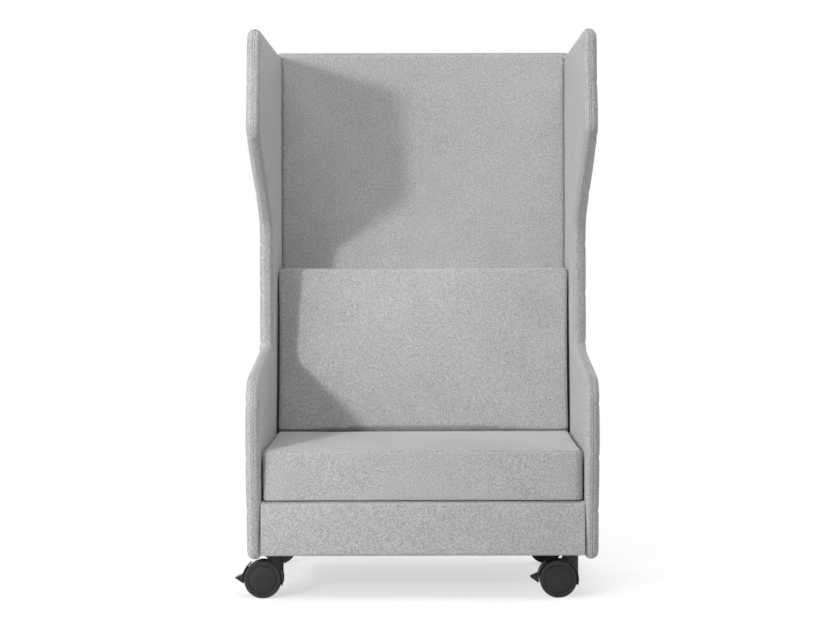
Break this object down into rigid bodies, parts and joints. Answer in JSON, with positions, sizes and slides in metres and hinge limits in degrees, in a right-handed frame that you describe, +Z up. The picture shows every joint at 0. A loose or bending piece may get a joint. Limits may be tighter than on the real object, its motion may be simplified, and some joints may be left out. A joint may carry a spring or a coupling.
{
  "type": "acoustic high back lounge chair",
  "caption": "High back acoustic lounge chair: padded wing panels round a boxed seat cushion and a leaning back cushion, on swivel castors with brake levers.",
  "frame": {"origin": "on the floor, on the chair's mid plane, midway between the armrests' front and the back panel's rear", "axes": "+X to the right seen from the front, +Y from front to rear, +Z up"},
  "size_m": [0.971, 0.785, 1.535],
  "materials": {
    "felt": "light grey wool felt with a fine mottle, matt",
    "cover_cloth": "dark thin cloth, matt",
    "plywood": "bare birch plywood",
    "hardwood": "bare hardwood",
    "board": "black thin hardboard, matt",
    "steel": "zinc plated",
    "nylon": "black moulded plastic, satin",
    "tyre": "dark soft tread, matt"
  },
  "bodies": {
    "chair": {"front_apron": "felt", "seat_cushion": "felt", "back_cushion": "felt", "back_front_pad": "felt", "back_rear_pad": "felt", "back_edge_band": "felt", "left_outer_pad": "felt", "right_outer_pad": "felt", "left_inner_pad": "felt", "right_inner_pad": "felt", "left_edge_band": "felt", "right_edge_band": "felt", "front_rail": "plywood", "rear_rail": "plywood", "left_rail": "plywood", "right_rail": "plywood", "cross_rail": "plywood", "seat_deck": "plywood", "back_core": "plywood", "left_core": "plywood", "right_core": "plywood", "frame_bolts": "steel", "panel_inserts": "steel", "shell_screws": "steel", "castor_inserts": "steel", "corner_blocks": "hardwood", "deck_cloth": "cover_cloth", "bottom_board": "board", "front_left_stem": "steel", "front_right_stem": "steel", "rear_left_stem": "steel", "rear_right_stem": "steel"},
    "front_left_castor": {"front_left_hood": "nylon", "front_left_axle": "steel", "front_left_lever_pin": "steel"},
    "front_left_fore_roller": {"front_left_fore_wheel": "nylon", "front_left_fore_tyre": "tyre"},
    "front_left_aft_roller": {"front_left_aft_wheel": "nylon", "front_left_aft_tyre": "tyre"},
    "front_left_brake": {"front_left_brake_lever": "nylon"},
    "front_right_castor": {"front_right_hood": "nylon", "front_right_axle": "steel", "front_right_lever_pin": "steel"},
    "front_right_fore_roller": {"front_right_fore_wheel": "nylon", "front_right_fore_tyre": "tyre"},
    "front_right_aft_roller": {"front_right_aft_wheel": "nylon", "front_right_aft_tyre": "tyre"},
    "front_right_brake": {"front_right_brake_lever": "nylon"},
    "rear_left_castor": {"rear_left_hood": "nylon", "rear_left_axle": "steel"},
    "rear_left_fore_roller": {"rear_left_fore_wheel": "nylon", "rear_left_fore_tyre": "tyre"},
    "rear_left_aft_roller": {"rear_left_aft_wheel": "nylon", "rear_left_aft_tyre": "tyre"},
    "rear_right_castor": {"rear_right_hood": "nylon", "rear_right_axle": "steel"},
    "rear_right_fore_roller": {"rear_right_fore_wheel": "nylon", "rear_right_fore_tyre": "tyre"},
    "rear_right_aft_roller": {"rear_right_aft_wheel": "nylon", "rear_right_aft_tyre": "tyre"}
  },
  "joints": [
    {"name": "front_left_swivel", "type": "hinge", "parent": "chair", "child": "front_left_castor", "pos_m": [-0.396, -0.2875, 0.1], "axis": [0, 0, 1], "continuous": true},
    {"name": "front_left_fore_spin", "type": "hinge", "parent": "front_left_castor", "child": "front_left_fore_roller", "pos_m": [-0.429, -0.2875, 0.05], "axis": [0, 1, 0], "continuous": true},
    {"name": "front_left_aft_spin", "type": "hinge", "parent": "front_left_castor", "child": "front_left_aft_roller", "pos_m": [-0.429, -0.2875, 0.05], "axis": [0, 1, 0], "continuous": true},
    {"name": "front_left_brake_tilt", "type": "hinge", "parent": "front_left_castor", "child": "front_left_brake", "pos_m": [-0.46018, -0.2875, 0.068], "axis": [0, -1, 0], "range_deg": [0, 5]},
    {"name": "front_right_swivel", "type": "hinge", "parent": "chair", "child": "front_right_castor", "pos_m": [0.396, -0.2875, 0.1], "axis": [0, 0, 1], "continuous": true},
    {"name": "front_right_fore_spin", "type": "hinge", "parent": "front_right_castor", "child": "front_right_fore_roller", "pos_m": [0.363, -0.2875, 0.05], "axis": [0, 1, 0], "continuous": true},
    {"name": "front_right_aft_spin", "type": "hinge", "parent": "front_right_castor", "child": "front_right_aft_roller", "pos_m": [0.363, -0.2875, 0.05], "axis": [0, 1, 0], "continuous": true},
    {"name": "front_right_brake_tilt", "type": "hinge", "parent": "front_right_castor", "child": "front_right_brake", "pos_m": [0.33182, -0.2875, 0.068], "axis": [0, -1, 0], "range_deg": [0, 5]},
    {"name": "rear_left_swivel", "type": "hinge", "parent": "chair", "child": "rear_left_castor", "pos_m": [-0.396, 0.245, 0.1], "axis": [0, 0, 1], "continuous": true},
    {"name": "rear_left_fore_spin", "type": "hinge", "parent": "rear_left_castor", "child": "rear_left_fore_roller", "pos_m": [-0.429, 0.245, 0.05], "axis": [0, 1, 0], "continuous": true},
    {"name": "rear_left_aft_spin", "type": "hinge", "parent": "rear_left_castor", "child": "rear_left_aft_roller", "pos_m": [-0.429, 0.245, 0.05], "axis": [0, 1, 0], "continuous": true},
    {"name": "rear_right_swivel", "type": "hinge", "parent": "chair", "child": "rear_right_castor", "pos_m": [0.396, 0.245, 0.1], "axis": [0, 0, 1], "continuous": true},
    {"name": "rear_right_fore_spin", "type": "hinge", "parent": "rear_right_castor", "child": "rear_right_fore_roller", "pos_m": [0.363, 0.245, 0.05], "axis": [0, 1, 0], "continuous": true},
    {"name": "rear_right_aft_spin", "type": "hinge", "parent": "rear_right_castor", "child": "rear_right_aft_roller", "pos_m": [0.363, 0.245, 0.05], "axis": [0, 1, 0], "continuous": true}
  ]
}
